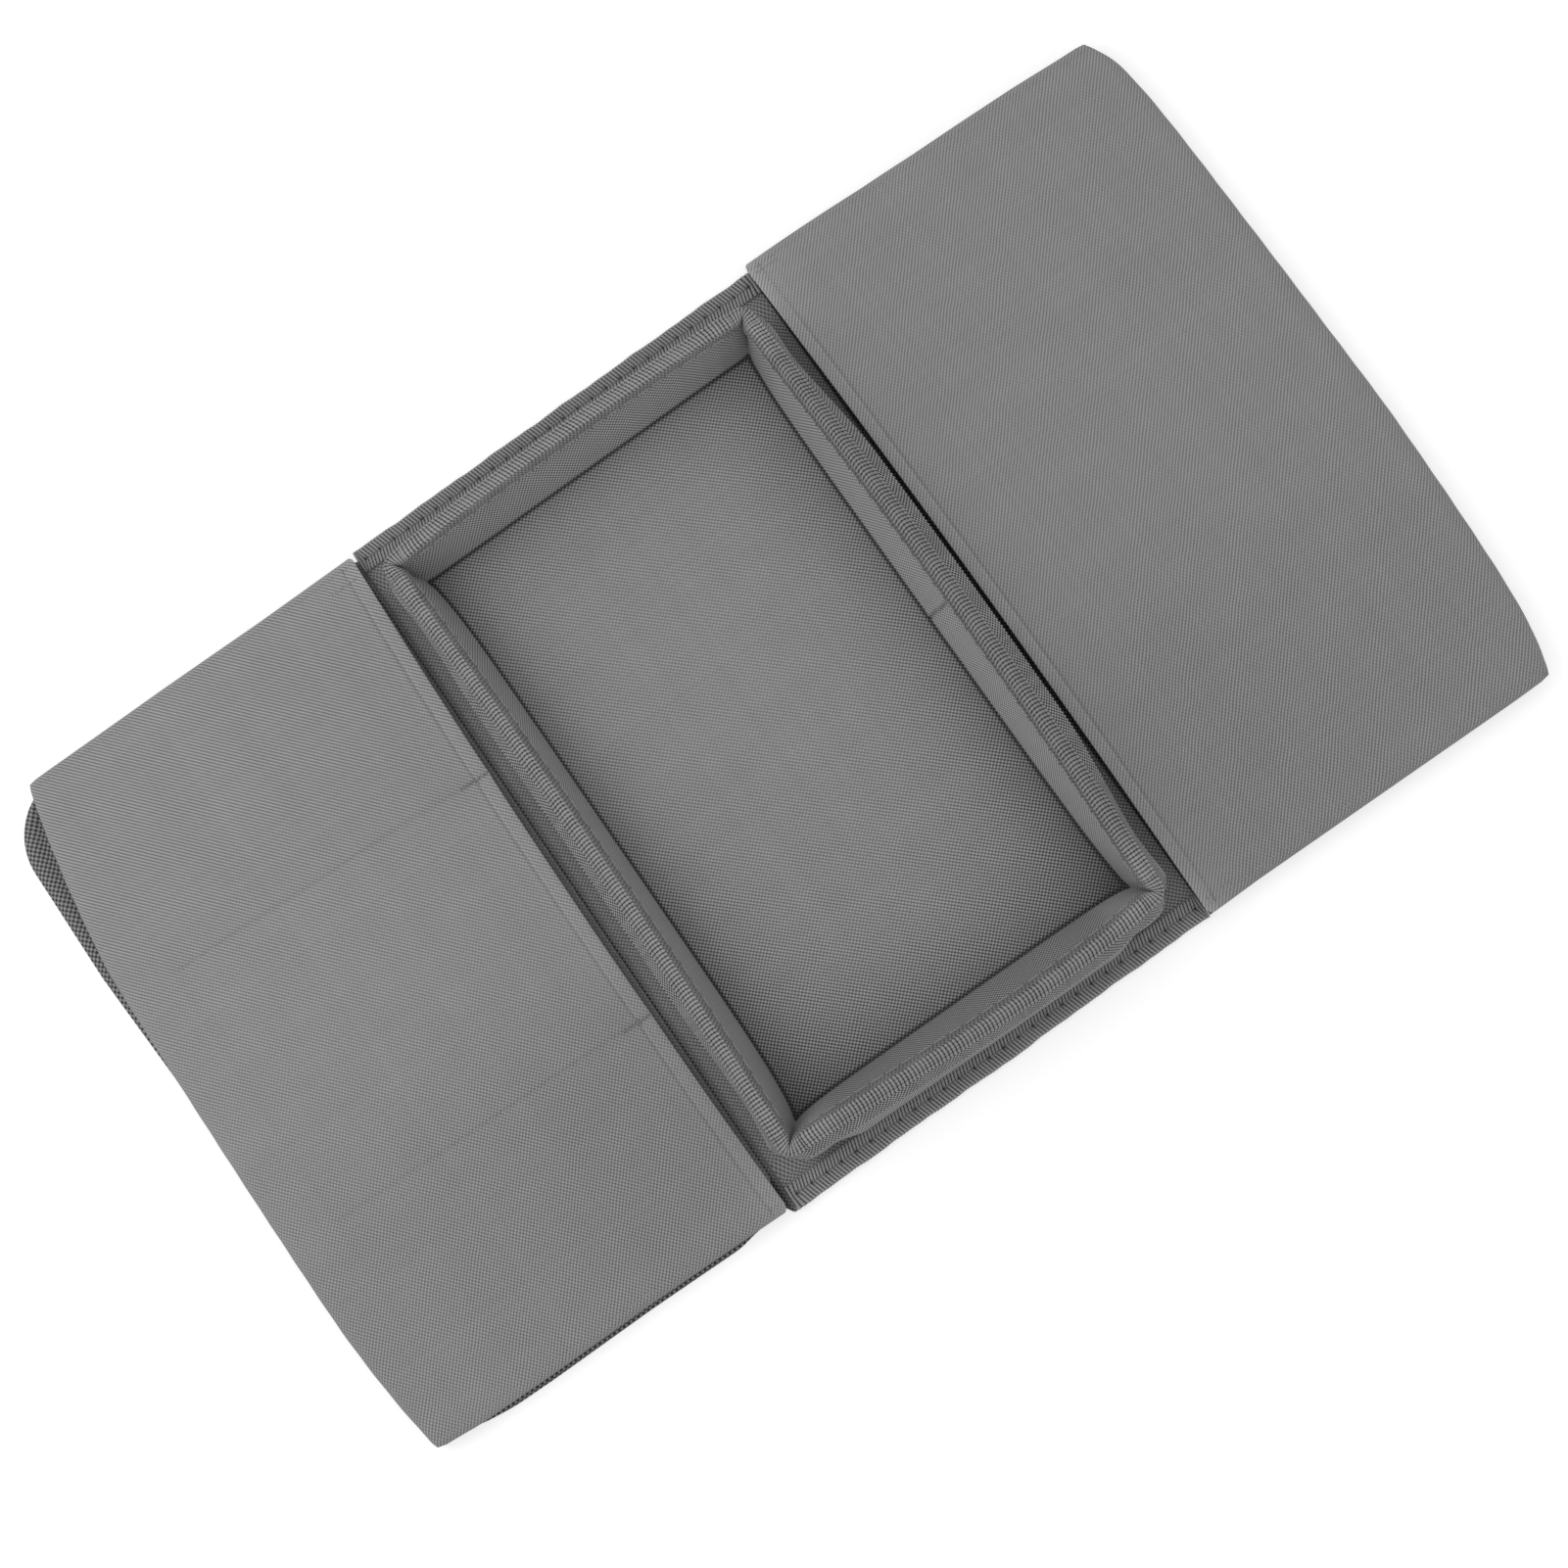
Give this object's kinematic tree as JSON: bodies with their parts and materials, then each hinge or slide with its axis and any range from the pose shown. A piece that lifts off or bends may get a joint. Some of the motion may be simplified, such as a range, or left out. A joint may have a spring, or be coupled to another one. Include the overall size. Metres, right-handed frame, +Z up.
{
  "type": "sofa armrest tray",
  "caption": "Folded cloth tray that lies over a sofa's arm: a shallow walled tray between flaps with pockets, which hang down the sides of the arm or fold flat for storage.",
  "frame": {"origin": "on the underside of the tray's base, at the middle of the base, which is the face that rests on the arm", "axes": "+X towards the flap with one wide pocket, +Y along the tray's length towards its back short end, +Z up out of the tray"},
  "size_m": [0.5246, 0.3051, 0.0275],
  "materials": {
    "pocket_cloth": "mid grey plain-weave polyester, matte",
    "floor_cloth": "mid grey plain-weave polyester, matte",
    "wall_cloth": "dark grey plain-weave polyester, matte",
    "base_cover_cloth": "dark grey coarse-weave polyester, matte",
    "binding_tape": "grey ribbed webbing tape, matte",
    "felt": "off-white needled felt",
    "board_plastic": "off-white polypropylene board"
  },
  "bodies": {
    "tray": {"tray_base_cover": "base_cover_cloth", "tray_floor_panel": "floor_cloth", "tray_floor_board": "board_plastic", "wall_lining": "floor_cloth", "wall_outer_cover": "wall_cloth", "back_wall_board": "board_plastic", "front_wall_board": "board_plastic", "left_wall_board": "board_plastic", "right_wall_board": "board_plastic", "rim_binding": "binding_tape", "back_base_binding": "binding_tape", "front_base_binding": "binding_tape", "left_fold_strip": "wall_cloth", "right_fold_strip": "wall_cloth"},
    "left_flap": {"left_flap_back": "base_cover_cloth", "left_flap_felt": "felt", "left_flap_lining": "floor_cloth", "left_pocket_panel": "pocket_cloth"},
    "right_flap": {"right_flap_back": "base_cover_cloth", "right_flap_felt": "felt", "right_flap_lining": "floor_cloth", "right_pocket_panel": "pocket_cloth"}
  },
  "joints": [
    {"name": "left_flap_fold", "type": "hinge", "parent": "tray", "child": "left_flap", "pos_m": [-0.0945, 0, 0], "axis": [0, 1, 0], "range_deg": [-178, 45], "deforming": ["left_fold_strip"]},
    {"name": "right_flap_fold", "type": "hinge", "parent": "tray", "child": "right_flap", "pos_m": [0.0945, 0, 0], "axis": [0, -1, 0], "range_deg": [-140, 45], "deforming": ["right_fold_strip"]}
  ]
}
